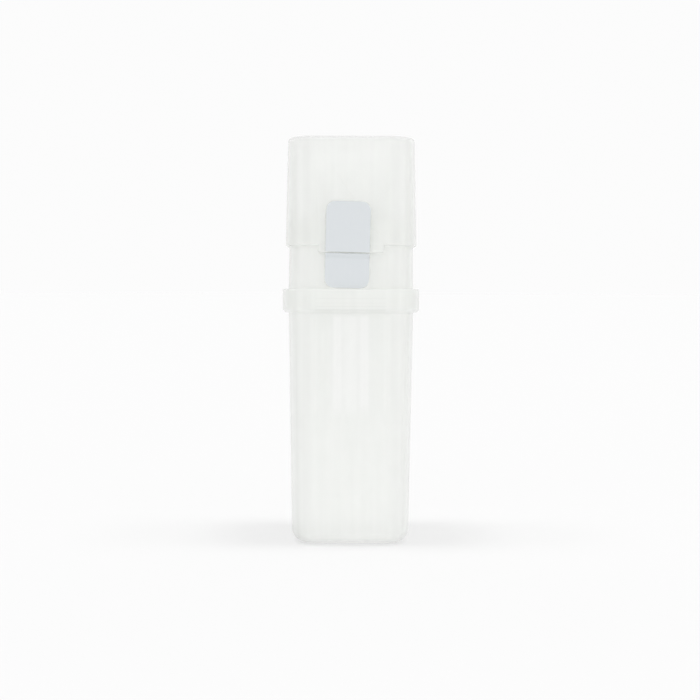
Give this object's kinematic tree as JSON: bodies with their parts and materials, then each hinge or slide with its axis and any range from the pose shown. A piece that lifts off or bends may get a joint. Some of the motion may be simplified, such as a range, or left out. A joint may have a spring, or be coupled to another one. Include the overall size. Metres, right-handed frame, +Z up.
{
  "type": "filter pipette tip rack",
  "caption": "Tall milky plastic box with a tip carrier, large and small filter pipette tips, a lift-off lid and a slit seal label.",
  "frame": {"origin": "middle of the box's underside", "axes": "+Z up along the box, the label's side faces -Y, +X to the right seen from the label's side"},
  "size_m": [0.0544, 0.0544, 0.1612],
  "materials": {
    "milky_plastic": "translucent natural polypropylene, satin moulded surface",
    "tip_plastic": "clear-milky polypropylene, smooth",
    "porous_filter": "white sintered porous plug, matte",
    "label_film": "pale blue-grey satin label, unprinted"
  },
  "bodies": {
    "rack": {"base_box": "milky_plastic", "tip_carrier": "milky_plastic", "label_lower": "label_film", "large_tip_left": "tip_plastic", "large_tip_middle": "tip_plastic", "large_tip_right": "tip_plastic", "small_tip_side_left": "tip_plastic", "small_tip_side_right": "tip_plastic", "small_tip_front_left": "tip_plastic", "small_tip_front_middle": "tip_plastic", "small_tip_front_right": "tip_plastic", "large_filter_left": "porous_filter", "large_filter_middle": "porous_filter", "large_filter_right": "porous_filter", "small_filter_side_left": "porous_filter", "small_filter_side_right": "porous_filter", "small_filter_front_left": "porous_filter", "small_filter_front_middle": "porous_filter", "small_filter_front_right": "porous_filter"},
    "lid": {"lid": "milky_plastic", "label_upper": "label_film"}
  },
  "joints": [
    {"name": "lid_lift", "type": "slide", "parent": "rack", "child": "lid", "axis": [0, 0, 1], "range_m": [0, 0.05]}
  ]
}
